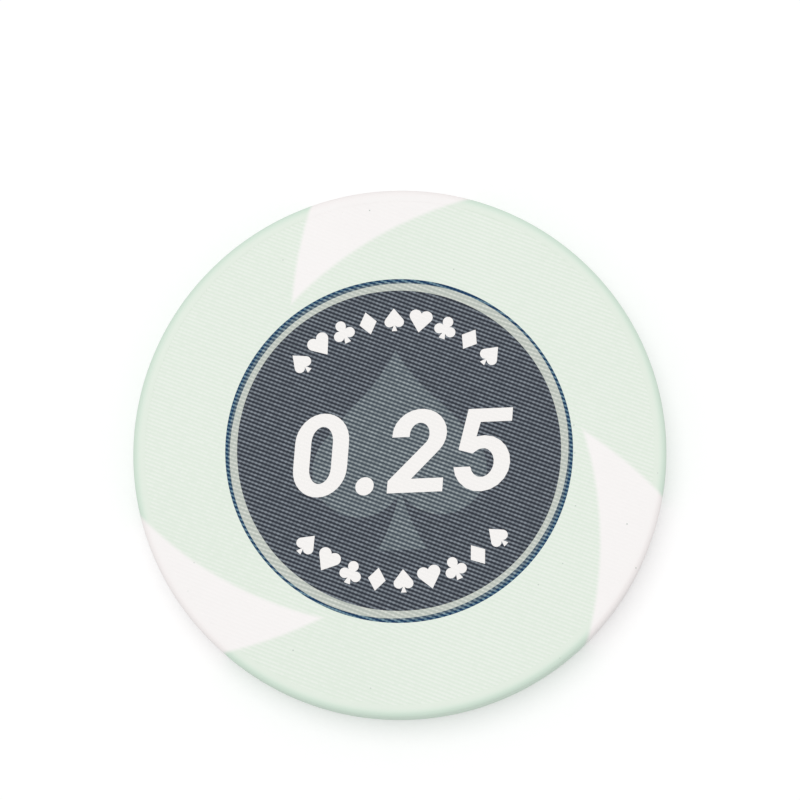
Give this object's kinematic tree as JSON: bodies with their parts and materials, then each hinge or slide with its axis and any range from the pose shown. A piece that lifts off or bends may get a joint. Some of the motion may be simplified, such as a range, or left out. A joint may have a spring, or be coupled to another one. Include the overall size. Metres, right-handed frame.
{
  "type": "poker chip",
  "caption": "Round poker chip with a rounded rim, curved blade-shaped edge spots through its edge, a printed inlay flush in each face and a steel weight sealed inside.",
  "frame": {"origin": "middle of the back face, on the surface that the chip lies on", "axes": "+Z out of the front face, +X along the printed numerals, +Y towards their tops"},
  "size_m": [0.039, 0.039, 0.0033],
  "materials": {
    "mint_resin": "satin",
    "white_resin": "satin",
    "printed_inlay": "satin",
    "steel": "satin"
  },
  "bodies": {
    "root": {"moulded_body": "mint_resin", "edge_spot_right": "white_resin", "edge_spot_top": "white_resin", "edge_spot_left": "white_resin", "front_inlay": "printed_inlay", "back_inlay": "printed_inlay", "steel_slug": "steel"}
  },
  "joints": []
}
